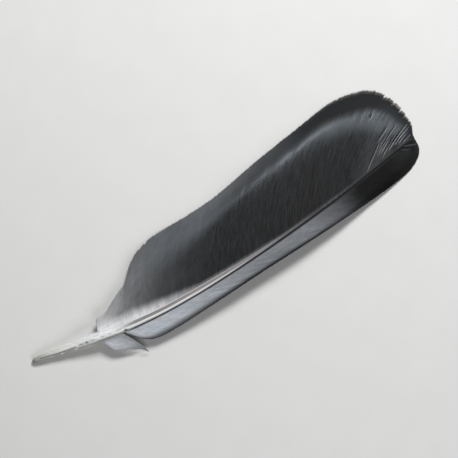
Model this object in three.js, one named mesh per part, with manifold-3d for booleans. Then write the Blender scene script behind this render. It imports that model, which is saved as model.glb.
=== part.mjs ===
// A goose flight feather, lying with its upper side up.
//
// The feather is one grown piece: a round quill that runs on as the shaft, a wide vane on one side, a
// narrow vane on the other, a loose tuft of barbs below the narrow vane, and a fringe of short barbs
// along the quill below the wide vane. Each vane is made of locks, bundles of barbs that leave the
// shaft's side and sweep towards the tip.
//
// Millimetres. While the feather is built, X runs from the quill's end (0) to the vane's tip, +Y is
// the wide vane's side, +Z is up and the surface it lies on is near 0. The finished feather is then
// moved so that the origin is the middle of its bounding box's underside.

import * as THREE from "three";
import Module from "manifold-3d";

// Driving dimensions: the shaft.
const SHAFT_END = 219; // where the shaft has thinned out between the vanes
const QUILL_END_ROUNDING = 1.6; // length over which the quill's end rounds off
const SHAFT_SIDES = 12; // flats round the shaft
const SHAFT_STEP = 9; // length of one stretch of shaft
const RACHIS_START = 40; // where the round quill begins to turn into the squarish rachis
const RACHIS_FULL = 70; // and where it has done so
const RACHIS_SQUARENESS = 0.72; // 1 is round, smaller is squarer
const FURROW_DEPTH = 0.45; // furrow along the rachis's back and underside, as a share of its half height

// The shaft's course seen from above and from the side, and its half width, as [x, value].
const SHAFT_Y = [[0, -0.3], [10, -1.6], [16, -2.7], [22, -3.8], [28, -5.0], [34, -6.1], [46, -8.4],
  [60, -10.0], [75, -10.9], [100, -10.8], [130, -9.2], [165, -6.0], [195, -2.2], [219, 1.4]];
const SHAFT_Z = [[0, 1.25], [20, 3.7], [45, 7.8], [75, 11.4], [100, 13.1], [130, 13.7], [160, 12.2],
  [185, 8.9], [205, 4.8], [219, 1.1]];
const SHAFT_HALF_WIDTH = [[0, 1.2], [4, 1.6], [10, 1.8], [22, 1.95], [36, 2.0], [50, 1.8], [64, 1.55],
  [80, 1.4], [96, 1.25], [120, 0.9], [150, 0.65], [180, 0.48], [219, 0.3]];

// Driving dimensions: the vanes. Each row of barbs is one barb that sets the vane's form: the x where
// it leaves the shaft, then its tip's x, y and z. Barbs between two rows run smoothly between them.
// Side is 1 on the wide vane's side of the shaft and -1 on the other. Bow is a barb's bow to the
// left, as a share of its length. Fold is the share of a barb's drop that comes past the fold.
const WIDE_VANE = {
  side: 1,
  bow: 0.1,
  fold: 0.42,
  locks: 30,
  barbs: [
    [35.5, 36.4, -3.4, 6.2],
    [36.7, 37.6, 0.5, 5.4],
    [39.5, 43.5, 2.5, 4.8],
    [44.0, 53.0, 7.9, 3.8],
    [48.5, 60.5, 11.7, 2.9],
    [52.0, 65.8, 16.6, 2.2],
    [56.0, 71.5, 20.6, 1.6],
    [64.0, 83.0, 23.4, 0.9],
    [76.0, 99.0, 24.3, 0.4],
    [92.0, 119.0, 25.4, 0.2],
    [115.0, 146.0, 30.4, 0.2],
    [138.0, 175.0, 34.9, 0.2],
    [152.0, 191.5, 37.3, 0.4],
    [160.0, 200.0, 37.1, 0.4],
    [169.0, 208.5, 35.4, 0.3],
    [177.0, 215.5, 31.5, 0.2],
    [184.0, 220.3, 24.5, 0.2],
    [191.0, 223.0, 16.5, 0.2],
    [199.0, 223.6, 9.5, 0.2],
    [207.0, 222.4, 4.8, 0.3],
    [214.0, 220.6, 2.4, 0.5],
  ],
};
const NARROW_VANE = {
  side: -1,
  bow: -0.05,
  fold: 0.25,
  locks: 22,
  barbs: [
    [48.3, 49.9, -13.3, 6.6],
    [49.5, 54.4, -18.2, 5.4],
    [51.5, 59.5, -21.0, 5.0],
    [56.0, 68.0, -21.8, 5.4],
    [66.0, 85.0, -21.2, 7.0],
    [80.0, 103.0, -20.1, 8.4],
    [100.0, 124.0, -18.8, 9.2],
    [125.0, 148.0, -17.7, 8.6],
    [150.0, 171.5, -16.4, 6.0],
    [172.0, 191.0, -14.8, 2.9],
    [188.0, 204.5, -13.0, 1.1],
    [198.0, 212.5, -11.1, 0.5],
    [206.0, 218.2, -8.0, 0.3],
    [212.0, 221.2, -4.2, 0.2],
    [217.0, 221.6, 0.6, 0.3],
  ],
};
const TUFT = {
  side: -1,
  bow: 0.08,
  fold: 0.2,
  locks: 4,
  barbs: [
    [35.9, 36.4, -11.0, 6.0],
    [37.0, 38.2, -15.0, 5.2],
    [39.0, 41.5, -17.8, 4.4],
    [41.5, 45.5, -19.6, 3.7],
    [43.8, 50.0, -21.6, 2.9],
    [45.6, 52.6, -24.3, 2.2],
    [46.4, 53.3, -25.2, 2.0],
  ],
};
const FRINGE = {
  side: 1,
  bow: 0.05,
  fold: 0,
  locks: 3,
  barbs: [
    [20.0, 22.5, -2.1, 4.9],
    [22.5, 25.5, -1.4, 5.4],
    [26.0, 29.5, -1.9, 6.0],
    [29.0, 32.5, -2.6, 6.5],
    [32.5, 35.5, -3.5, 6.9],
    [35.8, 37.2, -3.8, 7.2],
  ],
};

// The section of a lock, which all vanes share.
const RIDGE_RISE = 0.45; // height of a lock's ridge over the vane's mid surface, at the shaft
const VALLEY_RISE = 0.2; // and of the valley between two locks
const KEEL_DEPTH = 0.3; // depth of the underside below the mid surface
const VANE_THINNING = 0.4; // share of that thickness lost by the tip
const BARB_STATIONS = [0, 0.2, 0.45, 0.68, 0.79, 0.9, 1]; // shares of a barb where the vane is shaped
const FOLD_AT = 0.78; // share of a barb at which the vane folds down
const FOLD_SOFTNESS = 0.08; // share of a barb over which it does so
const ROOT_HEIGHT = 0.35; // share of the shaft's half height at which the vanes join it
const ROOT_DEPTH = 0.35; // share of the shaft's half width that the barbs reach into

// The wide vane's worn tip: notches in its outline, and splits where locks have come unzipped.
const VALLEY_NOTCH = 0.006; // depth of the outline's notches between locks, as a share of a barb
const WORN_NOTCH = 0.025; // and at the worn tip
const WORN_FROM = 176; // x at the shaft of the first barb of the worn tip
const SPLITS = [185, 190, 194.5, 199, 203.5]; // x of each split at the shaft
const SPLIT_GAPE = 0.45; // how far each side of a split draws back, halfway along it
const SPLIT_LAP = 0.25; // and how far the sides lap over each other at its ends

const { clamp, lerp, smoothstep } = THREE.MathUtils;

/** Reads a smooth curve through rows of [x, value, value ...] at x, in the given column. */
function through(rows, x, column = 1) {
  const last = rows.length - 1;
  const at = clamp(x, rows[0][0], rows[last][0]);
  let i = 0;
  while (i < last - 1 && at > rows[i + 1][0]) i += 1;
  const slope = (k) => {
    const before = rows[Math.max(k - 1, 0)];
    const after = rows[Math.min(k + 1, last)];
    return (after[column] - before[column]) / (after[0] - before[0]);
  };
  const span = rows[i + 1][0] - rows[i][0];
  const t = (at - rows[i][0]) / span;
  const eased = t * t * (3 - 2 * t);
  const leaving = t * (1 - t) * (1 - t) * span * slope(i);
  const arriving = t * t * (t - 1) * span * slope(i + 1);
  return lerp(rows[i][column], rows[i + 1][column], eased) + leaving + arriving;
}

/** Middle of the shaft at x. */
function shaftPoint(x) {
  return new THREE.Vector3(x, through(SHAFT_Y, x), through(SHAFT_Z, x));
}

/** Half width of the shaft at x, rounded off to the quill's end. */
function shaftHalfWidth(x) {
  const rounding = clamp(x / QUILL_END_ROUNDING, 0.05, 1);
  return through(SHAFT_HALF_WIDTH, x) * Math.sqrt(rounding * (2 - rounding));
}

/** Share of its drop that a barb has made at v: an even slope, then a steeper one past the fold. */
function dropped(vane, v) {
  const soft = (share) => FOLD_SOFTNESS * Math.log1p(Math.exp((share - FOLD_AT) / FOLD_SOFTNESS));
  const past = (soft(v) - soft(0)) / (soft(1) - soft(0));
  return lerp(v, past, vane.fold);
}

/** Point on a vane's mid surface: root is the barb's x at the shaft, and v runs 0 to 1 along the barb. */
function vanePoint(vane, root, v) {
  const start = shaftPoint(root);
  const half = shaftHalfWidth(root);
  start.y += vane.side * half * (1 - ROOT_DEPTH);
  start.z += half * ROOT_HEIGHT;
  const tip = new THREE.Vector3(...[1, 2, 3].map((column) => through(vane.barbs, root, column)));
  const along = tip.sub(start);
  const bowed = 2 * v * (1 - v) * vane.bow;
  return new THREE.Vector3(
    start.x + along.x * v - along.y * bowed,
    start.y + along.y * v + along.x * bowed,
    start.z + along.z * dropped(vane, v),
  );
}

/** Closed geometry through a run of rings that all have the same, even, number of points. */
function loft(rings) {
  const sides = rings[0].length;
  const positions = rings.flat().flatMap((p) => [p.x, p.y, p.z]);
  const index = [];
  const quad = (a, b, c, d) => index.push(a, b, c, a, c, d);
  for (let r = 0; r < rings.length - 1; r += 1) {
    for (let s = 0; s < sides; s += 1) {
      const here = r * sides;
      const next = here + sides;
      const turn = (s + 1) % sides;
      quad(here + s, here + turn, next + turn, next + s);
    }
  }
  const end = (rings.length - 1) * sides;
  for (let s = 0; s < sides / 2 - 1; s += 1) {
    const across = sides - 1 - s;
    quad(s, across, across - 1, s + 1);
    quad(end + s, end + s + 1, end + across - 1, end + across);
  }
  const geometry = new THREE.BufferGeometry();
  geometry.setAttribute("position", new THREE.Float32BufferAttribute(positions, 3));
  geometry.setIndex(index);
  return geometry;
}

/** The shaft: a round quill that turns into a squarish rachis with a furrow above and below. */
function shaftGeometry() {
  const stations = [0, QUILL_END_ROUNDING * 0.35, QUILL_END_ROUNDING];
  const steps = Math.round((SHAFT_END - QUILL_END_ROUNDING) / SHAFT_STEP);
  for (let k = 1; k <= steps; k += 1) {
    stations.push(lerp(QUILL_END_ROUNDING, SHAFT_END, k / steps));
  }
  const power = (value, exponent) => Math.sign(value) * Math.abs(value) ** exponent;
  return loft(stations.map((x) => {
    const middle = shaftPoint(x);
    const half = shaftHalfWidth(x);
    const turned = smoothstep(x, RACHIS_START, RACHIS_FULL);
    const squareness = lerp(1, RACHIS_SQUARENESS, turned);
    return Array.from({ length: SHAFT_SIDES }, (_, s) => {
      const angle = (2 * Math.PI * s) / SHAFT_SIDES;
      const onCrown = s % (SHAFT_SIDES / 2) === SHAFT_SIDES / 4;
      const furrow = onCrown ? turned * FURROW_DEPTH * Math.sin(angle) : 0;
      return new THREE.Vector3(
        middle.x,
        middle.y + half * power(Math.cos(angle), squareness),
        middle.z + half * (power(Math.sin(angle), squareness) - furrow),
      );
    });
  }));
}

/**
 * A stretch of vane: locks side by side, each with a ridge along it, from one x at the shaft to
 * another. The stretch's two sides move outwards by lapAt(v), which is negative where a split gapes.
 */
function stretchGeometry(vane, from, to, locks, lapAt = () => 0) {
  const columns = 2 * locks;
  return loft(Array.from({ length: columns + 1 }, (_, column) => {
    const onRidge = column % 2 === 1;
    const side = (column === columns) - (column === 0);
    const root = lerp(from, to, column / columns);
    const notch = vane === WIDE_VANE && root > WORN_FROM ? WORN_NOTCH : VALLEY_NOTCH;
    const points = (lift) => BARB_STATIONS.map((v) => {
      const reached = v === 1 && !onRidge ? 1 - notch : v;
      const point = vanePoint(vane, root + side * lapAt(v), reached);
      point.z += lift * (1 - VANE_THINNING * v);
      return point;
    });
    return [...points(onRidge ? RIDGE_RISE : VALLEY_RISE), ...points(-KEEL_DEPTH).reverse()];
  }));
}

/** All of a vane in stretches that part at the given splits. */
function vaneGeometries(vane, splits = []) {
  const ends = [vane.barbs[0][0], ...splits, vane.barbs[vane.barbs.length - 1][0]];
  const lockWidth = (ends[ends.length - 1] - ends[0]) / vane.locks;
  const lapAt = (v) => SPLIT_LAP - (SPLIT_LAP + SPLIT_GAPE) * Math.sin(Math.PI * v);
  return ends.slice(1).map((to, k) => {
    const locks = Math.round((to - ends[k]) / lockWidth);
    return stretchGeometry(vane, ends[k], to, locks, splits.length ? lapAt : undefined);
  });
}

const wasm = await Module();
wasm.setup();

/** Closed geometry as a solid that faces out. */
function solid(geometry) {
  const vertProperties = new Float32Array(geometry.attributes.position.array);
  const triVerts = new Uint32Array(geometry.index.array);
  const made = new wasm.Manifold(new wasm.Mesh({ numProp: 3, vertProperties, triVerts }));
  if (made.volume() > 0) return made;
  for (let i = 0; i < triVerts.length; i += 3) {
    [triVerts[i + 1], triVerts[i + 2]] = [triVerts[i + 2], triVerts[i + 1]];
  }
  return new wasm.Manifold(new wasm.Mesh({ numProp: 3, vertProperties, triVerts }));
}

/** The whole feather, fused into one closed body. */
function featherGeometry() {
  const pieces = [
    shaftGeometry(),
    ...vaneGeometries(WIDE_VANE, SPLITS),
    ...vaneGeometries(NARROW_VANE),
    ...vaneGeometries(TUFT),
    ...vaneGeometries(FRINGE),
  ];
  const fused = wasm.Manifold.union(pieces.map(solid)).getMesh();
  const geometry = new THREE.BufferGeometry();
  geometry.setAttribute("position", new THREE.BufferAttribute(fused.vertProperties, 3));
  geometry.setIndex(new THREE.BufferAttribute(fused.triVerts, 1));
  return geometry;
}

const keratin = new THREE.MeshStandardMaterial({ color: 0x55585d, roughness: 0.5, metalness: 0 });
keratin.flatShading = true;

const feather = new THREE.Mesh(featherGeometry(), keratin);
feather.name = "feather";
feather.geometry.computeBoundingBox();
const box = feather.geometry.boundingBox;
feather.position.set(-(box.min.x + box.max.x) / 2, -(box.min.y + box.max.y) / 2, -box.min.z);

const group = new THREE.Group();
group.add(feather);

export default group;
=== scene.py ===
"""A goose flight feather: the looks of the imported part, built barb by barb.

Lengths are millimetres in the feather's own frame, as in its CAD: x runs from the quill's end (0) to
the vane's tip, y towards the wide vane, and z up from the surface that the feather lies on. place()
turns them into metres in the part's frame.
"""

import math

import bpy
import numpy as np
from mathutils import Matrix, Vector


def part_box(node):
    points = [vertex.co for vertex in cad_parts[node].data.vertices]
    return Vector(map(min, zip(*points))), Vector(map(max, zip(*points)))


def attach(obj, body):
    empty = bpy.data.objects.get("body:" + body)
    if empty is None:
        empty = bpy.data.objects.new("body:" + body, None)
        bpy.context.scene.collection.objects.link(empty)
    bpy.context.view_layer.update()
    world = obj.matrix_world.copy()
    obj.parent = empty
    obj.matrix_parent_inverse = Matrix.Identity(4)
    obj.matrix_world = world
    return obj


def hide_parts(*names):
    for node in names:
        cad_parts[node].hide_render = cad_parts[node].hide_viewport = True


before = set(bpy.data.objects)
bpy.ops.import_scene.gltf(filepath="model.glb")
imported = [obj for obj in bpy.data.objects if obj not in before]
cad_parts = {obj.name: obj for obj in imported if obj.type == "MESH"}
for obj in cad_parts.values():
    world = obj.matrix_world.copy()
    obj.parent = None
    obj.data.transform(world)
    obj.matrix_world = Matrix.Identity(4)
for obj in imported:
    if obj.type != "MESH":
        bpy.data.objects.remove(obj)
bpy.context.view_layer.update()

MM = 0.001

# The shaft's course seen from above and from the side, and its half width, as [x, value].
SHAFT_END = 219
SHAFT_Y = [[0, -0.3], [10, -1.6], [16, -2.7], [22, -3.8], [28, -5.0], [34, -6.1], [46, -8.4],
           [60, -10.0], [75, -10.9], [100, -10.8], [130, -9.2], [165, -6.0], [195, -2.2], [219, 1.4]]
SHAFT_Z = [[0, 1.25], [20, 3.7], [45, 7.8], [75, 11.4], [100, 13.1], [130, 13.7], [160, 12.2],
           [185, 8.9], [205, 4.8], [219, 1.1]]
SHAFT_HALF_WIDTH = [[0, 1.2], [4, 1.6], [10, 1.8], [22, 1.95], [36, 2.0], [50, 1.8], [64, 1.55],
                    [80, 1.4], [96, 1.25], [120, 0.9], [150, 0.65], [180, 0.48], [219, 0.3]]
QUILL_END_ROUNDING = 1.6  # length of it that is rounded off
QUILL_END_BLUNTNESS = 0.05  # least share of that length that counts, so that the end is blunt
RACHIS_START = 40  # x where the round quill starts to turn into the squarish rachis
RACHIS_FULL = 70  # x where it has done so
RACHIS_SQUARENESS = 0.72  # power of its section's sine and cosine: 1 is round, and less is squarer

# The vanes' forms. They follow the CAD's, but single barbs at the wide vane's base, at both vanes'
# tips and in the tuft end or start up to about 2 mm from the CAD's locks. Each row of barbs is the x
# where a barb leaves the shaft, then its tip's x, y and z. Bow bends a barb to its left, at its middle
# by half that share of its length, and fold is the share of its drop that comes past the fold. Spacing
# is how far apart the barbs leave the shaft.
WIDE_VANE = {
    "side": 1, "bow": 0.1, "fold": 0.42, "spacing": 0.36,
    "barbs": [
        [35.5, 36.4, -3.4, 6.2], [36.7, 38.2, 1.6, 5.4], [38, 40.4, 2.5, 5.1], [39.5, 43.4, 2.6, 4.8],
        [44, 53, 7.7, 3.8], [48.5, 60.5, 11.2, 2.9], [52, 65.8, 16.8, 2.2], [56, 71.5, 20.8, 1.6],
        [64, 83, 24, 0.9],
        [76, 99, 24.3, 0.4], [92, 119, 25.4, 0.2], [115, 146, 30.4, 0.2], [138, 175, 34.9, 0.2],
        [152, 191.5, 37.3, 0.4], [160, 200, 37.1, 0.4], [169, 208.5, 35.4, 0.3],
        [177, 215.8, 31.9, 0.2], [184, 221, 25, 0.2], [191, 223.7, 17, 0.2],
        [199, 224.1, 11.7, 0.2], [204, 224.4, 9.2, 0.2], [207.5, 224.2, 7.5, 0.2],
        [211, 223.3, 5.2, 0.3], [214.5, 222.2, 2.8, 0.4], [217.5, 222.1, 1, 0.3],
    ],
}
NARROW_VANE = {
    "side": -1, "bow": -0.05, "fold": 0.25, "spacing": 0.36,
    "barbs": [
        [48.3, 49.9, -13.3, 6.6], [49.5, 54.4, -18.2, 5.4], [51.5, 59.5, -21, 5], [56, 68, -21.8, 5.4],
        [66, 85, -21.2, 7], [80, 103, -20.1, 8.4], [100, 124, -18.8, 9.2], [125, 148, -17.7, 8.6],
        [150, 171.5, -16.4, 6], [172, 191, -15, 2.9], [188, 204.7, -13.5, 1.1],
        [198, 212.8, -11.6, 0.5], [206, 218.6, -8.4, 0.3], [212, 221.6, -4.4, 0.2],
        [217, 222, 0.6, 0.3],
    ],
}
TUFT = {
    "side": -1, "bow": 0.08, "fold": 0.2, "spacing": 0.26,
    "barbs": [
        [35.9, 36.4, -11, 6], [37, 38.2, -15, 5.2], [39, 41.5, -17.8, 4.4], [41.5, 45.5, -19.6, 3.7],
        [43.5, 50, -21.6, 2.9], [44.9, 52.6, -24.3, 2.2], [45.7, 53.3, -25.2, 2],
    ],
}
FRINGE = {
    "side": 1, "bow": 0.05, "fold": 0, "spacing": 0.3,
    "barbs": [
        [20, 22.5, -2.1, 4.9], [22.5, 25.5, -1.4, 5.4], [26, 29.5, -1.9, 6], [29, 32.5, -2.6, 6.5],
        [32.5, 35.5, -3.5, 6.9], [35.8, 37.2, -3.8, 7.2],
    ],
}
ROOT_HEIGHT = 0.35  # share of the shaft's half height at which barbs join it
ROOT_DEPTH = 0.35  # share of the shaft's half width that they reach into
CLEFT_END = 0.05  # share of a barb where the cleft beside the shaft ends
# Share of a barb at which the vane folds down, by x at the shaft.
FOLD_AT = [[20, 0.78], [219, 0.78]]
WIDE_FOLD_AT = [[36, 0.815], [116, 0.815], [142, 0.78], [155, 0.775], [180, 0.735], [219, 0.735]]
FOLD_SOFTNESS = 0.065  # share of a barb over which it does so
TIP_FOLD_SOFTNESS = 0.05  # the same at the tip of the wide vane
TIP_ROOTS = (150, 180)  # x at the shaft between which the wide vane's tip starts

# A barb: a thin blade with a rib along its top, lapped over the next one like a shingle.
BARB_STATIONS = 25
STATION_CROWDING = 1.25  # above 1, so that the stations stand closer towards a barb's tip
BLADE = [[-1, -0.02], [0, 0.03], [1, 0.01], [0, -0.08]]  # section: share of half width, mm up
UNDERSIDE = 3  # the corner of that section that faces down
BLADE_LAP = 1.3  # width of a blade as a share of the distance between barbs
BLADE_HALF_WIDTH = (0.08, 0.5)  # least and most, in mm
TAPER_FROM = 0.975  # share of a barb at which it starts to narrow to its tip
TIP_WIDTH = 0.35  # of a blade, as a share of its own width
LENGTH_SPREAD = (-0.8, 0.4)  # from the longest to the shortest barb, as shares of a vane's raggedness
LEAST_HEIGHT = 0.12  # of a barb's middle over the surface that the feather lies on
CLEARANCE = 0.02  # of every point over that surface

# How barbs wander along the shaft, up and down and in tone: over groups of about so many barbs.
STRAY_GROUPS = (11, 3)
RIPPLE_GROUPS = (9, 2)
SWELL_GROUP = 45
TONE_GROUP = 7
FINE_STRAY = 0.3  # how much they stray in the small groups, as a share of that in the large ones
FINE_RIPPLE = 0.2  # the same for the ripple
SWELL = 2.2  # height of the widest waves, as a share of the ripple's
STRAY_GROWTH = 1.3  # power with which barbs stray more towards their tips
RIPPLE_SETS_IN = (0.05, 0.7)  # shares of a barb between which the ripple grows
GROUP_TONE = 0.6  # share of a barb's tone that its group has in common

# Splits where barbs have come unzipped: [x at the shaft, gape in mm, start and end as shares].
SPLITS = [
    [181, 0.4, 0.71, 0.77], [190.6, 0.32, 0.46, 0.72], [191.8, 0.4, 0.03, 0.46],
    [193.4, 0.3, 0.28, 0.6], [195.4, 0.5, 0.22, 0.8], [197.6, 0.4, 0.24, 0.52],
    [200.6, 0.5, 0.1, 0.62], [203.3, 0.7, 0.2, 0.92], [206.4, 0.6, 0.3, 0.9],
    [209.4, 0.36, 0.3, 0.7], [212.6, 0.5, 0.26, 0.86],
]
TIP_SPLITS = [[211.4, 0.08, 0.1, 0.6], [214.2, 0.16, 0.05, 0.95]]  # the same in the narrow vane
SPLIT_REACH = 1.2  # distance over which barbs crowd together beside a split
SPLIT_CURL = 0.9  # how far the sides of a split curl down, as a share of its gape
WIDEST_GAPE = 0.55  # of a split whose painted shade and painted highlight show in full
HIGHLIGHT_BARB = 0.36  # distance past a split of the barb whose edge gets a painted highlight
# Nicks in the wide vane's outline, where a bundle of barbs has worn short: [x at the shaft, depth].
NICKS = [
    [40.2, 0.07], [43.3, 0.06], [47.2, 0.05], [48.9, 0.06], [53.7, 0.055], [57.5, 0.03],
    [60.7, 0.025], [66.5, 0.012], [181.5, 0.045], [186.3, 0.025], [191, 0.05], [196.5, 0.05],
    [201.8, 0.04], [205.5, 0.05],
]
NICK_WIDTH = 0.9  # distance past a nick over which it closes


def srgb(red, green, blue):
    """A colour given as 0 to 255 on a screen, as the linear colour that a shader takes."""
    def linear(value):
        share = value / 255
        return share / 12.92 if share <= 0.04045 else ((share + 0.055) / 1.055) ** 2.4
    return (linear(red), linear(green), linear(blue), 1)


def grey(value, warmth=0):
    """A grey from 0 to 255 on a screen, redder and less blue by warmth."""
    return srgb(value + warmth, value, value - warmth)


def smooth(value, low=0, high=1):
    """Rises smoothly from 0 at low to 1 at high."""
    share = np.clip((value - low) / (high - low), 0, 1)
    return share * share * (3 - 2 * share)


def bell(value, middle, width):
    """A smooth bump of height 1 round middle."""
    return np.exp(-((value - middle) / width) ** 2)


# Form --------------------------------------------------------------------------------------------

def through(rows, x, column=1):
    """Reads a smooth curve through rows of [x, value, value ...] at x, in the given column."""
    table = np.array(rows, float)
    knots, values = table[:, 0], table[:, column]
    slopes = np.empty(len(values))
    slopes[1:-1] = (values[2:] - values[:-2]) / (knots[2:] - knots[:-2])
    slopes[[0, -1]] = np.diff(values)[[0, -1]] / np.diff(knots)[[0, -1]]
    at = np.clip(x, knots[0], knots[-1])
    k = np.clip(np.searchsorted(knots, at, side="right") - 1, 0, len(knots) - 2)
    span = knots[k + 1] - knots[k]
    t = (at - knots[k]) / span
    eased = t * t * (3 - 2 * t)
    leaving = t * (1 - t) ** 2 * span * slopes[k]
    arriving = t * t * (t - 1) * span * slopes[k + 1]
    return values[k] + (values[k + 1] - values[k]) * eased + leaving + arriving


def shaft_half_width(x):
    """Half width of the shaft at x, rounded off to the quill's end."""
    rounding = np.clip(x / QUILL_END_ROUNDING, QUILL_END_BLUNTNESS, 1)
    return through(SHAFT_HALF_WIDTH, x) * np.sqrt(rounding * (2 - rounding))


def dropped(vane, root, v):
    """Share of its drop that a barb has made at v: an even slope, then a steeper one past the fold."""
    at_tip = smooth(root, *TIP_ROOTS) * (vane["side"] > 0)
    fold_at = through(WIDE_FOLD_AT if vane["side"] > 0 else FOLD_AT, root)
    softness = FOLD_SOFTNESS + (TIP_FOLD_SOFTNESS - FOLD_SOFTNESS) * at_tip

    def soft(u):
        return softness * np.log1p(np.exp((u - fold_at) / softness))
    return v * (1 - vane["fold"]) + vane["fold"] * (soft(v) - soft(0)) / (soft(1) - soft(0))


def vane_point(vane, root, v):
    """Points on a vane's mid surface: root is a barb's x at the shaft, v runs 0 to 1 along it."""
    half = shaft_half_width(root)
    start_y = through(SHAFT_Y, root) + vane["side"] * half * (1 - ROOT_DEPTH)
    start_z = through(SHAFT_Z, root) + half * ROOT_HEIGHT
    along_x = through(vane["barbs"], root, 1) - root
    along_y = through(vane["barbs"], root, 2) - start_y
    along_z = through(vane["barbs"], root, 3) - start_z
    bowed = 2 * v * (1 - v) * vane["bow"]
    return np.stack([
        root + along_x * v - along_y * bowed,
        start_y + along_y * v + along_x * bowed,
        start_z + along_z * dropped(vane, root, v),
    ], axis=-1)


# The corner of the CAD feather where x, y and z are least: its y is that of the tuft's tip.
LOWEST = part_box("feather")[0]
TUFT_TIP_Y = TUFT["barbs"][-1][2]
ORIGIN = np.array([LOWEST.x, LOWEST.y - TUFT_TIP_Y * MM, LOWEST.z])
SHARP_ANGLE = math.radians(75)  # between two faces from which their edge is drawn sharp


def place(points):
    """Turns points in the feather's own frame into metres in the part's frame."""
    return ORIGIN + np.asarray(points) * MM


def make_piece(name, points, faces, material, slot, **attributes):
    """Makes a mesh piece from points in the feather's own frame, which stands for the CAD feather."""
    mesh = bpy.data.meshes.new(name)
    mesh.from_pydata(place(points).tolist(), [], faces)
    for label, values in attributes.items():
        layer = mesh.attributes.new(label, "FLOAT_VECTOR", "POINT")
        layer.data.foreach_set("vector", np.asarray(values, np.float32).ravel())
    mesh.shade_smooth()
    mesh.set_sharp_from_angle(angle=SHARP_ANGLE)
    mesh.materials.append(material)
    piece = bpy.data.objects.new(name, mesh)
    bpy.context.scene.collection.objects.link(piece)
    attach(piece, "root")
    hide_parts("feather")
    return piece


def as_vectors(*values):
    """Broadcasts three sets of numbers, one a point, and stacks them as vectors."""
    return np.stack(np.broadcast_arrays(*values), axis=-1).reshape(-1, 3)


def unit(vectors):
    """The same vectors with a length of 1."""
    return vectors / np.linalg.norm(vectors, axis=-1, keepdims=True)


def wander(chance, count, group):
    """Random values from -1 to 1, one a barb, that change smoothly over groups of about that many."""
    knots = chance.uniform(-1, 1, count // group + 3)
    at = np.arange(count) / group
    k = at.astype(int)
    t = smooth(at - k)
    return (knots[k] * (1 - t) + knots[k + 1] * t)[:, None]


def wander_twice(chance, count, amount, groups, fine_share):
    """Wanders by that amount over large groups, and by a share of it over small ones."""
    large, small = groups
    return amount * wander(chance, count, large) + amount * fine_share * wander(chance, count, small)


def unzipped(splits, root, v):
    """What splits do to the barbs beside them: how far they draw back along the shaft and sink, in
    mm, and how much painted highlight the barb past each split gets and how much painted shade
    the one before it gets."""
    shape = np.broadcast(root, v).shape
    shift, sunk, pale, shaded = (np.zeros(shape) for _ in range(4))
    for at, gape, start, end in splits:
        open_share = np.sin(math.pi * np.clip((v - start) / (end - start), 0, 1))
        away = root - at
        shift += np.sign(away) * gape * open_share * np.exp(-np.abs(away) / SPLIT_REACH)
        sunk += SPLIT_CURL * gape * open_share * bell(away, 0, SPLIT_REACH / 2)
        strength = np.sqrt(open_share) * gape / WIDEST_GAPE
        pale += strength * bell(away, HIGHLIGHT_BARB, HIGHLIGHT_BARB)
        shaded += strength * bell(away, -HIGHLIGHT_BARB / 2, HIGHLIGHT_BARB)
    return shift, sunk, np.minimum(pale, 1), np.minimum(shaded, 1)


def nick_depth(nicks, root):
    """Share of its length by which a barb falls short, most at a nick and less past it."""
    depth = np.zeros(root.shape)
    for at, deepest in nicks:
        past = root - at
        depth += np.where(past > 0, deepest * np.exp(-past / NICK_WIDTH), 0)
    return depth


def barb_middles(chance, vane, root, along, drift, lift, cleft, splits):
    """The barbs' middle lines, and the painted highlight and painted shade that splits give them."""
    count = len(root)
    stray = wander_twice(chance, count, drift, STRAY_GROUPS, FINE_STRAY)
    shift, sunk, pale, shaded = unzipped(splits, root, along)
    sunk += cleft * (1 - smooth(along, 0, CLEFT_END))
    middle = vane_point(vane, root + stray * along ** STRAY_GROWTH + shift, along)
    ripple = wander_twice(chance, count, lift, RIPPLE_GROUPS, FINE_RIPPLE)
    swell = lift * SWELL * wander(chance, count, SWELL_GROUP)
    middle[..., 2] += (ripple + swell) * smooth(along, *RIPPLE_SETS_IN) - sunk
    middle[..., 2] = np.maximum(middle[..., 2], LEAST_HEIGHT)
    return middle, pale, shaded


def blade_points(vane, root, v, along, middle):
    """The corners of thin blades along the barbs' middle lines, wide enough to lap over the next."""
    direction = unit(np.gradient(middle, axis=1))
    to_next = np.gradient(vane_point(vane, root, along), axis=0)
    across = to_next - direction * np.sum(to_next * direction, axis=-1, keepdims=True)
    half = np.clip(np.linalg.norm(across, axis=-1) * BLADE_LAP / 2, *BLADE_HALF_WIDTH)
    half *= 1 - (1 - TIP_WIDTH) * smooth(v, TAPER_FROM, 1)
    across = unit(across)
    up = np.cross(direction, across) * vane["side"]
    points = np.stack([
        middle + across * (half * share)[..., None] + up * rise for share, rise in BLADE
    ], axis=2)
    points[..., 2] = np.maximum(points[..., 2], CLEARANCE)
    return points


def blade_faces(count, side):
    """The long faces of so many blades, then their caps, facing out on that side of the shaft."""
    corners = len(BLADE)
    ring = (np.arange(count)[:, None] * BARB_STATIONS + np.arange(BARB_STATIONS - 1)) * corners
    corner = np.arange(corners)
    turn = (corner + 1) % corners
    here, there = ring[..., None] + corner, ring[..., None] + turn
    quads = np.stack([here, there, there + corners, here + corners], axis=-1).reshape(-1, 4)
    barb = np.arange(count)[:, None] * BARB_STATIONS * corners
    root_caps = barb + corner[::-1]
    tip_caps = barb + (BARB_STATIONS - 1) * corners + corner
    faces = np.concatenate([quads, root_caps, tip_caps])
    return faces if side > 0 else faces[:, ::-1]


def at_corners(*values):
    """Three sets of numbers, one a station or one a barb, as vectors at all corners of the blades."""
    every_corner = np.zeros(len(BLADE))
    return as_vectors(*(value[..., None] + every_corner for value in values))


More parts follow.
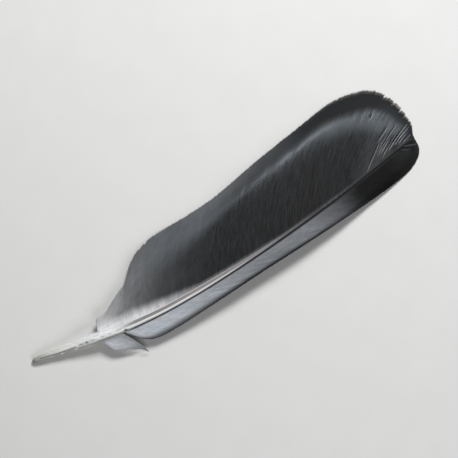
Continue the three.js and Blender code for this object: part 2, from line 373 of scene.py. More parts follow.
def barb_blades(name, vane, material, slot, seed, drift, lift=0.12, ragged=0.012, cleft=0,
                splits=(), nicks=()):
    """A vane's barbs as one mesh of thin blades that lap over each other.

    Drift and lift are how far barbs stray along the shaft and up, ragged how unevenly long they are,
    as a share of their length, and cleft how far they sink where they leave the shaft.
    """
    chance = np.random.default_rng(seed)
    first, last = vane["barbs"][0][0], vane["barbs"][-1][0]
    count = round((last - first) / vane["spacing"])
    root = np.linspace(first, last, count)[:, None]
    v = (1 - (1 - np.linspace(0, 1, BARB_STATIONS)) ** STATION_CROWDING)[None, :]
    reach = 1 - nick_depth(nicks, root) - ragged * chance.uniform(*LENGTH_SPREAD, (count, 1))
    along = v * reach
    middle, pale, shaded = barb_middles(chance, vane, root, along, drift, lift, cleft, splits)
    points = blade_points(vane, root, v, along, middle)
    faces = blade_faces(count, vane["side"])

    tone = GROUP_TONE * wander(chance, count, TONE_GROUP)
    tone = tone + (1 - GROUP_TONE) * chance.uniform(-1, 1, (count, 1))
    # The split attribute carries the painted highlight and painted shade beside splits.
    piece = make_piece(
        name, points.reshape(-1, 3), faces.tolist(), material, slot,
        barb=at_corners(root / SHAFT_END, along, tone), split=at_corners(pale, shaded, v))
    add_bake_map(piece, count, along, faces)


# The bake map, in shares of its width and height. A blade has a row in each half of the map.
ROWS_FROM, ROWS_LENGTH = 0.02, 0.96
HALF_HEIGHT = 0.48
LOWER_HALF_FROM, UPPER_HALF_FROM = 0.01, 0.51
# Where a blade lies in its row, and the corners of its section across it, as shares.
BLADE_FROM, BLADE_HEIGHT = 0.1, 0.8
LOWER_CORNERS = np.array([1, 0.5, 0, 0.5])
UPPER_CORNERS = np.array([0, 0.5, 1, 0.5])


def add_bake_map(piece, count, along, faces):
    """Lays the blades out for baking: a row a barb, upper faces in one half and lower in the other."""
    corners = len(BLADE)
    barb, corner = np.divmod(faces, BARB_STATIONS * corners)
    station, corner = np.divmod(corner, corners)
    lower = (corner == UNDERSIDE).any(axis=1, keepdims=True)
    across = np.where(lower, LOWER_CORNERS[corner], UPPER_CORNERS[corner])
    half_from = np.where(lower, LOWER_HALF_FROM, UPPER_HALF_FROM)
    u = along[barb, station] * ROWS_LENGTH + ROWS_FROM
    v = (barb + BLADE_FROM + BLADE_HEIGHT * across) / count * HALF_HEIGHT + half_from
    layer = piece.data.uv_layers.new(name="OFBake")
    layer.data.foreach_set("uv", np.stack([u, v], axis=-1).astype(np.float32).ravel())


# The shaft ---------------------------------------------------------------------------------------

SHAFT_STATIONS = 420
SHAFT_SIDES = 72
QUILL_END_STATIONS = [0, 0.12, 0.3, 0.55, 0.8]  # more of them, as shares of the end's rounding
BACK_FROM = 0.5  # share of the shaft's half height from which its back, or its belly, counts in full
# How much further the rachis reaches on the wide vane's side, as a share of its half width.
RACHIS_LEAN = [[40, 0], [60, 0.22], [80, 0.35], [105, 0.35], [130, 0.15], [160, 0], [219, 0]]
# How much further the quill reaches on the other side.
QUILL_LEAN = [[0, 0], [6, 0.1], [20, 0.15], [34, 0.26], [42, 0.16], [56, 0], [219, 0]]
# Relief along the rachis: [share across, share of the half width over which it runs, rise].
RACHIS_RELIEF = [[-0.38, 0.18, 0.2], [0.08, 0.26, -0.4], [0.64, 0.2, 0.08]]
FLANK_DROP = 0.4  # how far the narrow vane's side of the rachis slopes down, as a share of half width
FLANK_FROM = 0.5  # share of the half width where that slope starts
BELLY_GROOVE = 0.4  # depth of the furrow on the rachis's underside, as a share of half width
BELLY_GROOVE_WIDTH = 0.3
# Marks on the quill's back: [x from, x to, share across from, share across to, depth, half width],
# the last two in mm. Below zero, the depth is a raised rim.
QUILL_LINES = [
    [3.5, 12, -0.1, -0.5, 0.3, 0.3], [11.2, 23.4, -0.5, -0.44, 0.32, 0.3],
    [8, 34, -0.78, -0.72, -0.16, 0.26], [24, 27.4, -0.26, -0.24, 0.34, 0.28],
    [24, 34, 0.26, 0.24, -0.16, 0.22], [30, 33, -0.22, -0.2, 0.26, 0.24],
    [35.4, 38.2, -0.2, -0.1, 0.22, 0.2], [39.6, 42.2, -0.04, -0.01, 0.18, 0.2],
    [43.8, 47.6, 0.03, 0.2, 0.2, 0.22], [10, 36, 0.62, 0.6, 0.14, 0.24],
]
# Lumps and pits: [x, share across, height, half length, half width], the last three in mm.
QUILL_LUMPS = [
    [21.1, 0.4, 0.26, 0.9, 0.4], [32, 0.36, 0.26, 1, 0.4], [28.6, -0.22, -0.5, 0.9, 0.42],
    [15.1, -0.95, 0.34, 0.6, 0.6], [22.4, -0.95, 0.34, 0.8, 0.6], [26.2, 0.4, 0.14, 0.8, 0.4],
    [34.4, -0.1, 0.2, 0.8, 0.5], [10.5, 0.4, 0.1, 1.4, 0.5], [48.8, -0.62, -0.6, 0.7, 0.55],
]
LINE_FADE = 0.8  # length in mm over which a line starts and ends
LUMPS_UP_FROM = (-0.5, 0.1)  # shares of the half height between which lumps start to stand out
MARK_DEPTH = 0.4  # depth or height in mm of a mark whose painted shade or painted highlight is full


def quill_relief(x, across, half):
    """What marks do to the quill's back: how far it rises and its lumps stand out, in mm, and how
    much painted shade its grooves and pits get and how much painted highlight its rims and lumps get."""
    rise, outward = (np.zeros(np.broadcast(x, across).shape) for _ in range(2))
    for start, end, share_from, share_to, depth, width in QUILL_LINES:
        share = share_from + (share_to - share_from) * (x - start) / (end - start)
        run = smooth(x, start, start + LINE_FADE) * smooth(-x, -end, -end + LINE_FADE)
        rise -= depth * run * bell(across * half, share * half, width)
    for at, share, height, length, width in QUILL_LUMPS:
        outward += height * bell(x, at, length) * bell(across * half, share * half, width)
    # Painted shade by the depth of grooves and pits, painted highlight by the height of rims and
    # lumps.
    dark = np.maximum(-rise, 0) + np.maximum(-outward, 0)
    pale = np.maximum(rise, 0) + np.maximum(outward, 0)
    return rise, outward, np.minimum(dark / MARK_DEPTH, 1), np.minimum(pale / MARK_DEPTH, 1)


def tube_faces(rings, sides):
    """The faces of a tube along x, then its two caps."""
    ring = np.arange(rings - 1)[:, None] * sides
    side = np.arange(sides)
    turn = (side + 1) % sides
    quads = np.stack([ring + side, ring + side + sides, ring + turn + sides, ring + turn], axis=-1)
    caps = [side.tolist(), (side[::-1] + (rings - 1) * sides).tolist()]
    return quads.reshape(-1, 4).tolist() + caps


def shaft_relief(across, back, belly):
    """How far the rachis rises over its squarish section, as a share of its half width."""
    relief = sum(rise * bell(across, share, width) for share, width, rise in RACHIS_RELIEF)
    relief = back * (relief - FLANK_DROP * smooth(-across, FLANK_FROM, 1))
    return relief + belly * BELLY_GROOVE * bell(across, 0, BELLY_GROOVE_WIDTH)


def shaft_piece(material):
    """The round quill and the squarish rachis, with the furrow and crests along its back."""
    ends = QUILL_END_ROUNDING * np.array(QUILL_END_STATIONS)
    x = np.concatenate([ends, np.linspace(QUILL_END_ROUNDING, SHAFT_END, SHAFT_STATIONS)])[:, None]
    angle = np.linspace(0, 2 * math.pi, SHAFT_SIDES, endpoint=False)[None, :]
    half = shaft_half_width(x)
    turned = smooth(x, RACHIS_START, RACHIS_FULL)
    squareness = 1 + (RACHIS_SQUARENESS - 1) * turned
    across = np.sign(np.cos(angle)) * np.abs(np.cos(angle)) ** squareness
    up = np.sign(np.sin(angle)) * np.abs(np.sin(angle)) ** squareness
    back, belly = smooth(up, 0, BACK_FROM), smooth(-up, 0, BACK_FROM)

    relief = shaft_relief(across, back, belly)
    rise, outward, dark, pale = quill_relief(x, across, half)
    swell = 1 + outward * smooth(up, *LUMPS_UP_FROM) / half
    lean = 1 + np.where(across > 0, through(RACHIS_LEAN, x), through(QUILL_LEAN, x))
    points = np.stack(np.broadcast_arrays(
        x,
        through(SHAFT_Y, x) + half * across * swell * lean,
        through(SHAFT_Z, x) + half * (up * swell + turned * relief) + back * rise), axis=-1)
    points[..., 2] = np.maximum(points[..., 2], CLEARANCE)
    # The mark attribute carries that painted shade and painted highlight.
    make_piece(
        "shaft", points.reshape(-1, 3), tube_faces(*points.shape[:2]), material, "shaft",
        shaft=as_vectors(x / SHAFT_END, across, up), mark=as_vectors(dark, pale, 0))


# Materials ---------------------------------------------------------------------------------------

class Shader:
    """A material's node tree, put together with few words."""

    def __init__(self, name):
        self.material = bpy.data.materials.new(name)
        self.material.use_nodes = True
        self.tree = self.material.node_tree
        self.tree.nodes.clear()

    def add(self, kind, inputs, output=0, **settings):
        """Adds a node. Each input takes a number, a colour or another node's output."""
        node = self.tree.nodes.new("ShaderNode" + kind)
        for setting, value in settings.items():
            setattr(node, setting, value)
        for key, value in inputs.items():
            if isinstance(value, bpy.types.NodeSocket):
                self.tree.links.new(value, node.inputs[key])
            else:
                node.inputs[key].default_value = value
        return node.outputs[output]

    def attribute(self, label):
        """A mesh attribute as a vector, and its three parts."""
        vector = self.add("Attribute", {}, output=1, attribute_name=label)
        return vector, self.add("SeparateXYZ", {0: vector}).node.outputs

    def calc(self, operation, *values):
        """Works out one operation of the Math node."""
        return self.add("Math", dict(enumerate(values)), operation=operation)

    def fade(self, value, low, high):
        """0 below low and 1 above high, with a smooth rise between."""
        inputs = {"Value": value, "From Min": low, "From Max": high}
        return self.add("MapRange", inputs, interpolation_type="SMOOTHSTEP")

    def ramp(self, value, stops):
        """The colour at value, from stops of (value from 0 to 1, colour)."""
        output = self.add("ValToRGB", {"Fac": value})
        elements = output.node.color_ramp.elements
        while len(elements) < len(stops):
            elements.new(1)
        for element, (position, colour) in zip(elements, stops):
            element.position = position
            element.color = colour
        return output

    def mix(self, share, first, second, blend="MIX"):
        """Blends the second colour over the first, by that share."""
        inputs = {0: share, 6: first, 7: second}
        return self.add("Mix", inputs, output=2, data_type="RGBA", blend_type=blend)

    def noise(self, vector, scale, detail):
        """A soft random pattern round 0.5, from large patches down to so many finer layers."""
        inputs = {"Vector": vector, "Scale": scale, "Detail": detail}
        return self.add("TexNoise", inputs, noise_dimensions="3D")

    def pattern(self, vector, repeats, detail):
        """The same, with its own fineness along each part of the vector."""
        stretched = self.add("VectorMath", {0: vector, 1: repeats}, operation="MULTIPLY")
        return self.noise(stretched, 1.0, detail)

    def finish(self, colour, roughness, normal, **constants):
        """Ends the tree with a surface and returns the material."""
        inputs = {"Base Color": colour, "Roughness": roughness, "Normal": normal}
        inputs.update({key.replace("_", " "): value for key, value in constants.items()})
        surface = self.add("BsdfPrincipled", inputs)
        output = self.tree.nodes.new("ShaderNodeOutputMaterial")
        self.tree.links.new(surface, output.inputs["Surface"])
        return self.material


def along_shaft(rows, warmth=0):
    """Ramp stops from rows of (x at the shaft, grey), warmer by a share of the grey. A row's own
    third number stands for that share there."""
    stops = []
    for x, value, *own in rows:
        share = own[0] if own else warmth
        stops.append((x / SHAFT_END, grey(value, share * value)))
    return stops


def shares_along(rows):
    """Ramp stops from rows of (x at the shaft, share)."""
    return [(x / SHAFT_END, (share, share, share, 1)) for x, share in rows]


# How fine the patterns on the vanes are: along the feather, along a barb and from tone to tone.
CLOUDS = (26, 2.4, 0.2)
TINTS = (18, 3, 0.1)
MOTTLES = (64, 11, 0)
WORN_BUNDLES = (230, 14, 1.5)
STREAKS = (380, 7, 3)
CLOUD_REACH = 0.05  # share of the shaft's length by which clouds move the tones
COOL, WARM = (0.94, 0.99, 1.07, 1), (1.06, 1.0, 0.94, 1)  # by which patches are multiplied
NO_TINT = (1, 1, 1, 1)

# Where looks set in along the feather, as shares of the shaft's length at the barbs' roots: they
# start at the first number and are there in full at the second.
GLOSS_FROM = (0.2, 0.5)
MATT_MARGIN_FROM = (0.57, 0.67)
FAINT_WEAR_FROM = (0.6, 0.72)
SOFT_TIP_FROM = (0.66, 0.82)
TIP_SHEEN_FROM = (0.78, 0.86)
WEAR_FROM = (0.82, 0.87)
MATT_TIP_FROM = (0.95, 0.98)
# The same along a barb, as shares of it.
CLEFT_SHADE_UNTIL = (0.13, 0.06)
MARGIN_END = 0.99
SOFT_FROM = (0.5, 0.78)
SHEEN_UNTIL = (0.71, 0.86)
WORN_END_FROM = (0.955, 0.985)
TIP_SHEEN_SHIFT = 0.08  # how much further out the sheen reaches at the vane's tip
BAND_FADE = (0.2, 2.0)  # shares of the width of the band beside the shaft between which it fades
BAND_UNEVENNESS = 0.08  # how much a barb's tone changes that width, as a share

# Painted shade in the crease where barbs leave the shaft.
CLEFT_SHADE_COLOUR = grey(24)
WORN_COLOUR = srgb(134, 127, 117)
# Painted shade in the splits and a painted highlight on the edge of the barb past each.
SPLIT_SHADE = grey(10)
SPLIT_HIGHLIGHT = grey(164, -3)
SPLIT_STRENGTH = 0.85
FAINT_WEAR, TIP_WEAR = 0.3, 0.6  # strength of the worn ends past the middle, and more at the tip
LEAST_WORN = 0.4  # what it is in the least worn bundles, as a share of that in the most worn ones
BUNDLE_EDGES = (0.36, 0.62)  # values of the pattern between those two
# How light the vanes are: without patterns, and what streaks, spots and a barb's tone add.
PLAIN_LIGHT = 0.45
STREAK_LIGHT = 0.5
SPOT_LIGHT = 0.6
TONE_LIGHT = 0.1
# How rough they are: without patterns, and what streaks, the margin and matt places add, and what
# the soft tip adds by itself and where there are streaks.
PLAIN_ROUGHNESS = 0.32
STREAK_ROUGHNESS = 0.24
MARGIN_ROUGHNESS = 0.35
MATT_ROUGHNESS = 0.5
MATT_TIP = 0.8  # how matt the very tip is, as a share of that
SOFT_TIP_ROUGHNESS = 0.06
SOFT_STREAK_ROUGHNESS = 0.5
# Relief of the streaks: height in metres, its strength, and what the soft tip adds to that.
STREAK_HEIGHT = 0.00003
STREAK_RELIEF = 0.12
SOFT_TIP_RELIEF = 0.4


class VaneShader(Shader):
    """A vane's node tree, with the marks that its barbs carry."""

    def __init__(self, name):
        super().__init__(name)
        self.marks, parts = self.attribute("barb")
        self.root, self.along, self.tone = parts[0], parts[1], parts[2]
        # Painted highlight and painted shade beside splits, and the share along the barb.
        parts = self.attribute("split")[1]
        self.pale, self.shaded, self.to_end = parts[0], parts[1], parts[2]
        self.streaks = self.pattern(self.marks, STREAKS, detail=2)


def vane_colour(shader, tones, warmth, slant):
    """The tones along the feather, moved a little by soft clouds and by slant along the barbs."""
    cloud = shader.calc("SUBTRACT", shader.pattern(shader.marks, CLOUDS, detail=3), 0.5)
    moved = shader.calc("MULTIPLY_ADD", cloud, CLOUD_REACH, shader.root)
    moved = shader.calc("MULTIPLY_ADD", shader.along, slant, moved)
    return shader.ramp(moved, along_shaft(tones, warmth))


def with_band(shader, colour, widths, tones):
    """Adds the pale band beside the shaft, a little wider or narrower from barb to barb."""
    width = shader.ramp(shader.root, shares_along(widths))
    uneven = shader.calc("MULTIPLY_ADD", shader.tone, BAND_UNEVENNESS, 1.0)
    across_band = shader.calc("DIVIDE", shader.along, shader.calc("MULTIPLY", width, uneven))
    in_band = shader.calc("SUBTRACT", 1, shader.fade(across_band, *BAND_FADE))
    return shader.mix(in_band, colour, shader.ramp(shader.root, along_shaft(tones)))


def with_cleft_shade(shader, colour, cleft):
    """Paints shade on the barbs in the crease where they leave the shaft."""
    in_cleft_shade = shader.calc("MULTIPLY", shader.fade(shader.along, *CLEFT_SHADE_UNTIL), cleft)
    return shader.mix(in_cleft_shade, colour, CLEFT_SHADE_COLOUR)


def margin_share(shader, margin_from):
    """0 up to where the margin starts and 1 at a barb's end."""
    start = shader.ramp(shader.root, shares_along(margin_from))
    past = shader.calc("SUBTRACT", shader.along, start)
    breadth = shader.calc("SUBTRACT", MARGIN_END, start)
    return shader.fade(shader.calc("DIVIDE", past, breadth), 0, 1)


def with_wear(shader, colour, wear):
    """Adds the barbs' pale worn ends: faint past the middle, clear at the tip, in bundles."""
    faintly = shader.calc("MULTIPLY", shader.fade(shader.root, *FAINT_WEAR_FROM), FAINT_WEAR)
    worn = shader.calc("MULTIPLY_ADD", shader.fade(shader.root, *WEAR_FROM), TIP_WEAR, faintly)
    bundles = shader.fade(shader.pattern(shader.marks, WORN_BUNDLES, detail=2), *BUNDLE_EDGES)
    uneven = shader.calc("MULTIPLY_ADD", bundles, 1 - LEAST_WORN, LEAST_WORN)
    worn = shader.calc("MULTIPLY", worn, shader.calc("MULTIPLY", uneven, wear))
    worn = shader.calc("MULTIPLY", worn, shader.fade(shader.to_end, *WORN_END_FROM))
    return shader.mix(worn, colour, WORN_COLOUR)


def with_splits(shader, colour):
    """Paints shade into each split and a highlight on the edge of the barb past it."""
    shaded = shader.calc("MULTIPLY", shader.shaded, SPLIT_STRENGTH)
    pale = shader.calc("MULTIPLY", shader.pale, SPLIT_STRENGTH)
    return shader.mix(pale, shader.mix(shaded, colour, SPLIT_SHADE), SPLIT_HIGHLIGHT)


def with_mottling(shader, colour):
    """Adds cool and warm patches, and lighter and darker spots, streaks and barbs."""
    tint = shader.mix(shader.pattern(shader.marks, TINTS, detail=2), COOL, WARM)
    colour = shader.mix(1.0, colour, tint, "MULTIPLY")
    spots = shader.pattern(shader.marks, MOTTLES, detail=4)
    light = shader.calc("MULTIPLY_ADD", shader.streaks, STREAK_LIGHT, PLAIN_LIGHT)
    light = shader.calc("MULTIPLY_ADD", spots, SPOT_LIGHT, light)
    light = shader.calc("MULTIPLY_ADD", shader.tone, TONE_LIGHT, light)
    return shader.mix(1.0, colour, light, "MULTIPLY")


def vane_roughness(shader, in_margin, soft_tip, gloss):
    """Smoother past the vane's base by gloss, rougher in the margin, past the sheen and at the tip."""
    smoother = shader.calc("MULTIPLY", shader.fade(shader.root, *GLOSS_FROM), gloss)
    rougher = shader.calc("MULTIPLY_ADD", shader.streaks, STREAK_ROUGHNESS, PLAIN_ROUGHNESS)
    rougher = shader.calc("MULTIPLY_ADD", in_margin, MARGIN_ROUGHNESS, rougher)

    shift = shader.calc("MULTIPLY", shader.fade(shader.root, *TIP_SHEEN_FROM), TIP_SHEEN_SHIFT)
    past_sheen = shader.fade(shader.calc("SUBTRACT", shader.along, shift), *SHEEN_UNTIL)
    matt = shader.calc("MULTIPLY", past_sheen, shader.fade(shader.root, *MATT_MARGIN_FROM))
    matt_tip = shader.calc("MULTIPLY", shader.fade(shader.root, *MATT_TIP_FROM), MATT_TIP)
    matt = shader.calc("MAXIMUM", matt, matt_tip)
    streaky = shader.calc(
        "MULTIPLY_ADD", shader.streaks, SOFT_STREAK_ROUGHNESS, SOFT_TIP_ROUGHNESS)
    soft = shader.calc("MULTIPLY", soft_tip, streaky)
    matt = shader.calc("MULTIPLY_ADD", matt, MATT_ROUGHNESS, soft)
    return shader.calc("ADD", shader.calc("SUBTRACT", rougher, smoother), matt)


def vane_material(name, tones, band_widths, band_tones, margin_from, margin_tones, cleft=0, wear=0,
                  gloss=0, specular=0.4, sheen_tint=NO_TINT, warmth=0, slant=0):
    """Barbs whose grey changes along the feather, beside the shaft and towards the margin.

    Tones are greys by x at the shaft, moved by slant along the barbs and made redder by warmth. Band
    widths and margin_from are shares of a barb, by x too: how wide the band beside the shaft is,
    and where the margin starts. Cleft is how much painted shade darkens the barbs in the crease
    where they leave the shaft, wear how pale their ends are at the tip, and gloss how much smoother,
    or below zero rougher, the vane is past its base. Specular and sheen_tint are the strength and the
    colour of its reflections.
    """
    shader = VaneShader(name)
    colour = vane_colour(shader, tones, warmth, slant)
    colour = with_band(shader, colour, band_widths, band_tones)
    colour = with_cleft_shade(shader, colour, cleft)
    in_margin = margin_share(shader, margin_from)
    colour = shader.mix(in_margin, colour, shader.ramp(shader.root, along_shaft(margin_tones)))
    colour = with_wear(shader, colour, wear)
    colour = with_splits(shader, colour)
    colour = with_mottling(shader, colour)

    soft_part = shader.fade(shader.along, *SOFT_FROM)
    soft_tip = shader.calc("MULTIPLY", soft_part, shader.fade(shader.root, *SOFT_TIP_FROM))
    roughness = vane_roughness(shader, in_margin, soft_tip, gloss)
    relief = shader.calc("MULTIPLY_ADD", soft_tip, SOFT_TIP_RELIEF, STREAK_RELIEF)
    streaks = {"Height": shader.streaks, "Distance": STREAK_HEIGHT, "Strength": relief}
    return shader.finish(
        colour, roughness, shader.add("Bump", streaks),
        Specular_IOR_Level=specular, Specular_Tint=sheen_tint)


# The shaft's colours from the quill's end to the tip, by share of its length, and the painted
# shade on its flank at the narrow vane's side, which faces away from the key light.
KERATIN_COLOURS = [
    (0, (152, 152, 144)), (0.02, (180, 180, 172)), (0.046, (218, 218, 211)),
    (0.08, (240, 240, 235)), (0.14, (246, 247, 245)), (0.3, (246, 246, 245)),
    (0.38, (246, 245, 244)), (0.43, (232, 230, 230)), (0.5, (212, 210, 211)),
    (0.55, (166, 164, 166)), (0.64, (116, 114, 116)), (0.73, (80, 78, 80)),
    (0.82, (50, 48, 50)), (1, (34, 33, 34)),
]
FLANK_SHADE_COLOURS = [
    (0.03, (142, 141, 133)), (0.06, (106, 106, 100)), (0.12, (122, 122, 122)),
    (0.2, (136, 136, 136)), (0.35, (92, 92, 92)), (0.5, (50, 50, 50)), (1, (20, 20, 20)),
]
# Painted shade in the furrow along the rachis's back.
FURROW_SHADE_COLOUR, FURROW_SHADE_STRENGTH = srgb(114, 110, 109), 0.85
# Painted shade in the quill's grooves and pits, and painted highlight on its raised rims and lumps.
HOLLOW_SHADE_COLOUR, HOLLOW_SHADE_STRENGTH = srgb(46, 45, 42), 0.85
LUMP_HIGHLIGHT_COLOUR, LUMP_HIGHLIGHT_STRENGTH = grey(250), 0.8
FLANK_SHADE_STRENGTH = 0.8
# Where looks set in or end along the shaft, as shares of its length.
RACHIS_FROM = (0.19, 0.26)
FURROW_UNTIL = (0.62, 0.5)
FLANK_SHADE_FROM = (0, 0.06)
MATT_SHAFT_FROM = (0.8, 0.88)
# The same across it, as shares of its half width towards the wide vane.
FURROW_FROM = (-0.1, 0.16)
FURROW_TO = (0.98, 0.75)
FLANK_BELOW = (-0.3, -0.76)
FLANK_SHIFT = 0.18  # how much nearer to the narrow vane the flank's painted shade starts on the rachis
FIBRES = (30, 9, 9)  # how fine they are along, across and up the shaft
FIBRE_HEIGHT = 0.0001  # in metres
FIBRE_RELIEF = 0.4
# How light and how rough the shaft is, what fibres add, and how much rougher its tip is.
SHAFT_LIGHT, FIBRE_LIGHT = 0.85, 0.3
SHAFT_ROUGHNESS, FIBRE_ROUGHNESS = 0.18, 0.14
MATT_SHAFT = 0.5


def colour_stops(rows):
    """Ramp stops from rows of (share of the shaft's length, colour)."""
    return [(share, srgb(*colour)) for share, colour in rows]


def furrow_shade_share(shader, x, across, on_rachis):
    """How much painted shade the furrow gets: on the rachis only, and less towards the tip."""
    furrow = shader.calc(
        "MULTIPLY", shader.fade(across, *FURROW_FROM), shader.fade(across, *FURROW_TO))
    furrow = shader.calc("MULTIPLY", furrow, shader.fade(x, *FURROW_UNTIL))
    return shader.calc("MULTIPLY", shader.calc("MULTIPLY", furrow, on_rachis), FURROW_SHADE_STRENGTH)


def flank_shade_share(shader, x, across, on_rachis):
    """How much painted shade there is on the flank at the narrow vane's side, away from the key light.
    """
    below = shader.calc("MULTIPLY_ADD", on_rachis, FLANK_SHIFT, across)
    flank = shader.calc(
        "MULTIPLY", shader.fade(below, *FLANK_BELOW), shader.fade(x, *FLANK_SHADE_FROM))
    return shader.calc("MULTIPLY", flank, FLANK_SHADE_STRENGTH)


def shaft_material():
    """Horny keratin: yellowish and clearer at the quill's end, white, then dark towards the tip.
    Painted shade lies in its furrow, grooves and pits and on its flank, and painted highlights on its
    raised rims and lumps.
    """
    shader = Shader("keratin")
    marks, parts = shader.attribute("shaft")
    x, across = parts[0], parts[1]
    on_rachis = shader.fade(x, *RACHIS_FROM)
    colour = shader.ramp(x, colour_stops(KERATIN_COLOURS))
    # Painted shade in the furrow.
    colour = shader.mix(furrow_shade_share(shader, x, across, on_rachis), colour, FURROW_SHADE_COLOUR)
    # Painted shade on the flank at the narrow vane's side.
    flank = shader.ramp(x, colour_stops(FLANK_SHADE_COLOURS))
    colour = shader.mix(flank_shade_share(shader, x, across, on_rachis), colour, flank)
    # Painted shade in grooves and pits, painted highlight on raised rims and lumps.
    relief_light_parts = shader.attribute("mark")[1]
    dark = shader.calc("MULTIPLY", relief_light_parts[0], HOLLOW_SHADE_STRENGTH)
    pale = shader.calc("MULTIPLY", relief_light_parts[1], LUMP_HIGHLIGHT_STRENGTH)
    colour = shader.mix(pale, shader.mix(dark, colour, HOLLOW_SHADE_COLOUR), LUMP_HIGHLIGHT_COLOUR)

    fibres = shader.pattern(marks, FIBRES, detail=3)
    light = shader.calc("MULTIPLY_ADD", fibres, FIBRE_LIGHT, SHAFT_LIGHT)
    colour = shader.mix(1.0, colour, light, "MULTIPLY")
    roughness = shader.calc("MULTIPLY_ADD", fibres, FIBRE_ROUGHNESS, SHAFT_ROUGHNESS)
    at_tip = shader.fade(x, *MATT_SHAFT_FROM)
    roughness = shader.calc("MULTIPLY_ADD", at_tip, MATT_SHAFT, roughness)
    relief = {"Height": fibres, "Distance": FIBRE_HEIGHT, "Strength": FIBRE_RELIEF}
    return shader.finish(
        colour, roughness, shader.add("Bump", relief),
        Subsurface_Weight=0.06, Subsurface_Radius=(0.002, 0.0016, 0.0012), Subsurface_Scale=0.5)


def wide_material():
    """The wide vane: pale at its base, then nearly black, with gloss, and a grey margin at its base
    that is partly its own colour and partly lightened and cooled as painted sheen.
    """
    return vane_material(
        "dark_barbs",
        # Lighter from x 187 to 204: partly the tip's own greyer colour, partly painted sheen.
        tones=[
            (38, 190), (44, 156), (48, 138), (52, 124), (56, 108), (64, 74), (72, 52),
            (84, 27, 0.12), (100, 13, 0.32), (135, 15, 0.32), (160, 16, 0.3), (180, 20, 0.14),
            (187, 42), (198, 54), (204, 46), (208, 34), (213, 24)],
        band_widths=[
            (38, 0.45), (46, 0.2), (50, 0.155), (56, 0.115), (65, 0.09), (80, 0.062),
            (92, 0.036), (140, 0.015)],
        band_tones=[
            (38, 240), (56, 236), (70, 214), (80, 168), (90, 132), (110, 110), (140, 60)],
        margin_from=[
            (40, 0.16), (50, 0.3), (56, 0.32), (66, 0.28), (78, 0.38), (90, 0.48), (105, 0.6),
            (120, 0.63), (135, 0.66), (150, 0.7), (180, 0.8), (192, 0.74), (205, 0.7)],
        # From about x 60 to 110 the margin is lighter and bluer than its own grey-brown: painted
        # sheen.
        margin_tones=[
            (40, 176, 0), (56, 102, -0.01), (66, 90, -0.03), (74, 82, -0.03), (84, 90, -0.04),
            (96, 90, -0.02), (108, 75), (120, 54), (134, 26), (150, 11), (162, 13), (185, 16),
            (215, 16)],
        wear=1, gloss=0.16, specular=0.84, sheen_tint=(0.81, 0.91, 1, 1), warmth=0.005)


def narrow_material():
    """The narrow vane: pale, then grey, nearly black at the tip, with painted shade in the cleft by
    the shaft and a dark margin that is partly its own colour and partly painted shade.
    """
    return vane_material(
        "pale_barbs",
        tones=[
            (38, 210), (54, 214), (72, 204), (92, 182), (107, 156), (132, 134), (152, 128),
            (163, 106), (173, 70), (183, 20), (202, 14), (211, 24), (219, 28)],
        band_widths=[(38, 0.02), (140, 0.01)],
        band_tones=[(38, 200), (140, 90)],
        margin_from=[
            (48, 0.6), (80, 0.6), (120, 0.65), (145, 0.78), (158, 0.78), (170, 0.7), (200, 0.66)],
        # The margin darkens partly in its own colour and partly as painted shade where it turns from
        # the light.
        margin_tones=[
            (50, 84), (90, 40), (140, 40), (156, 60), (166, 42), (182, 22), (200, 32), (215, 40)],
        # cleft here is painted shade in the crease beside the shaft
        cleft=0.92, wear=0.25, gloss=-0.14, specular=0.16, warmth=-0.025, slant=0.07)


def white_material(name, warmth):
    """The loose white barbs of the tuft and the fringe, greyer towards the vanes."""
    return vane_material(
        name,
        tones=[(18, 244), (35, 240), (38, 196), (46, 176), (60, 170)],
        band_widths=[(18, 0.1), (60, 0.08)],
        band_tones=[(18, 246), (60, 214)],
        margin_from=[(18, 0.8), (60, 0.8)],
        margin_tones=[(18, 236), (40, 160)],
        # cleft here is painted shade where the barbs leave the quill
        cleft=0.3, warmth=warmth)


# Scene -------------------------------------------------------------------------------------------

# The camera looks straight down. Its frame is 458 pixels wide and each pixel covers half a
# millimetre of the feather, which points up to the right at 30 degrees.
VIEW_MIDDLE = (118.6, 8.0, 5.0)
VIEW_WIDTH = 229
FEATHER_TILT = math.radians(30)
LENS = 200
SENSOR = 36
FURTHEST_SEEN = 20  # from the camera, in metres

# Soft square lights that face the middle of the view from the same distance: direction from there,
# size in metres, power in watts and colour.
LIGHT_DISTANCE = 0.9
LIGHTS = {
    "key": ((0.49, 0.49, 0.72), 0.26, 7.8, (0.98, 0.99, 1.0)),
    "fill": ((-0.1, -0.75, 0.66), 0.5, 2.5, (0.97, 0.98, 1.0)),
}
ROOM_COLOUR = srgb(241, 240, 243)
ROOM_STRENGTH = 0.09
FLOOR_COLOURS = srgb(226, 225, 222), srgb(232, 231, 229)
FLOOR_HALF = 3.0  # half its width, in metres
FLOOR_GRAINS = 60.0  # in a metre
GRAIN_HEIGHT = 0.0002  # in metres
GRAIN_RELIEF = 0.05
FLOOR_ROUGHNESS = 0.8


def add_camera():
    """A camera over the middle of the view, turned so that the feather lies as in the photo."""
    camera = bpy.data.cameras.new("camera")
    camera.lens = LENS
    camera.sensor_width = SENSOR
    camera.clip_end = FURTHEST_SEEN
    seen_from = bpy.data.objects.new("camera", camera)
    distance = VIEW_WIDTH * MM * LENS / SENSOR
    seen_from.location = Vector(place(VIEW_MIDDLE)) + Vector((0, 0, distance))
    seen_from.rotation_euler = (0, 0, -FEATHER_TILT)
    bpy.context.scene.collection.objects.link(seen_from)
    bpy.context.scene.camera = seen_from


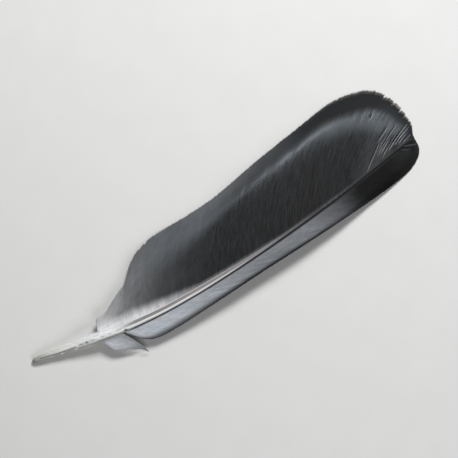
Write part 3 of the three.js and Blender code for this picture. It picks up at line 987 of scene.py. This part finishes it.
def add_light(name, direction, size, power, colour):
    """A square soft light that faces the middle of the view from the given direction."""
    light = bpy.data.lights.new(name, "AREA")
    light.size = size
    light.energy = power
    light.color = colour
    lamp = bpy.data.objects.new(name, light)
    away = Vector(direction).normalized()
    lamp.location = Vector(place(VIEW_MIDDLE)) + away * LIGHT_DISTANCE
    lamp.rotation_euler = away.to_track_quat("Z", "Y").to_euler()
    bpy.context.scene.collection.objects.link(lamp)


def floor_material():
    """Pale, matt and slightly grainy."""
    shader = Shader("pale_floor")
    grain = shader.noise(shader.add("TexCoord", {}, output=3), FLOOR_GRAINS, detail=3)
    colour = shader.mix(grain, *FLOOR_COLOURS)
    relief = {"Height": grain, "Distance": GRAIN_HEIGHT, "Strength": GRAIN_RELIEF}
    return shader.finish(colour, FLOOR_ROUGHNESS, shader.add("Bump", relief))


def add_floor():
    """The surface that the feather lies on."""
    mesh = bpy.data.meshes.new("floor")
    corners = [(-1, -1), (1, -1), (1, 1), (-1, 1)]
    mesh.from_pydata([(x * FLOOR_HALF, y * FLOOR_HALF, 0) for x, y in corners], [], [(0, 1, 2, 3)])
    mesh.materials.append(floor_material())
    floor = bpy.data.objects.new("floor", mesh)
    bpy.context.scene.collection.objects.link(floor)


def add_world():
    """An even, faint light from all sides, as from the walls of a pale room."""
    world = bpy.data.worlds.new("studio")
    world.use_nodes = True
    background = world.node_tree.nodes["Background"]
    background.inputs["Color"].default_value = ROOM_COLOUR
    background.inputs["Strength"].default_value = ROOM_STRENGTH
    bpy.context.scene.world = world


add_camera()
add_floor()
add_world()
for light_name, light_values in LIGHTS.items():
    add_light(light_name, *light_values)
bpy.context.scene.view_settings.view_transform = "Standard"

shaft_piece(shaft_material())
barb_blades("wide_vane", WIDE_VANE, wide_material(), "vane", seed=3, drift=0.35, lift=0.05,
            splits=SPLITS, nicks=NICKS)
barb_blades("narrow_vane", NARROW_VANE, narrow_material(), "pale_vane", seed=5, drift=0.4, lift=0.1,
            cleft=0.8, splits=TIP_SPLITS)
barb_blades("basal_tuft", TUFT, white_material("tuft_barbs", warmth=-0.02), "pale_vane", seed=8,
            drift=0.3, ragged=0.05)
barb_blades("quill_fringe", FRINGE, white_material("fringe_barbs", warmth=0.002), "pale_vane",
            seed=13, drift=0.2, lift=0.04, ragged=0.08)
